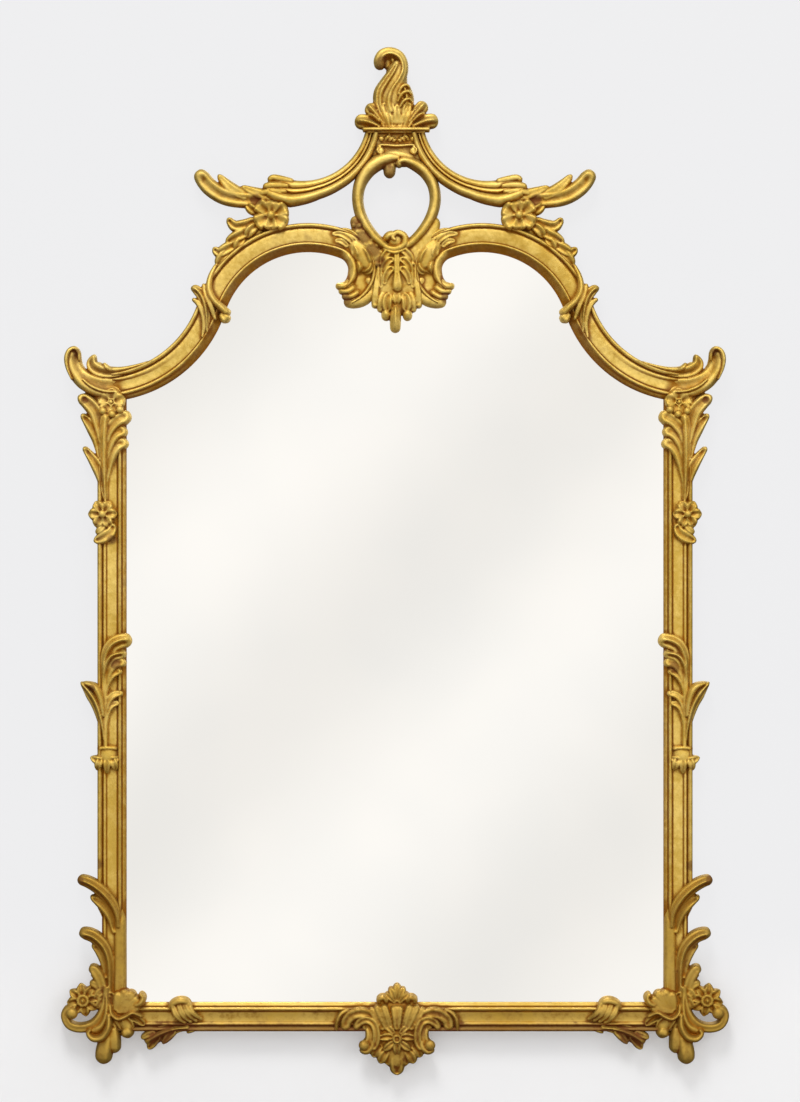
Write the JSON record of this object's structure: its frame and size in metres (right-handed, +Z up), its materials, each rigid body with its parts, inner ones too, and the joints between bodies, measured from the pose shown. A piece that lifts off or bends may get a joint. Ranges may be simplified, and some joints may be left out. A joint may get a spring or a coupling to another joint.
{
  "type": "wall mirror",
  "caption": "Wall mirror in a carved and gilded rococo frame with an ogee arched top, a pierced crest with a curled plume, leaf sprays and a shell on the bottom rail.",
  "frame": {"origin": "on the flat back that lies on the wall, on the centre line, level with the tops of the uprights", "axes": "+Z up, +Y into the wall, so the mirror looks along -Y; +X to the viewer's right"},
  "size_m": [0.6678, 0.032, 1.0289],
  "materials": {
    "gilding": "carved wood under gesso and red bole, gilded and toned, rubbed to the red in the hollows",
    "silvered_glass": "polished silvered glass",
    "bare_board": "plain unfinished board"
  },
  "bodies": {
    "root": {"carved_frame": "gilding", "mirror_glass": "silvered_glass", "backboard": "bare_board"}
  },
  "joints": []
}
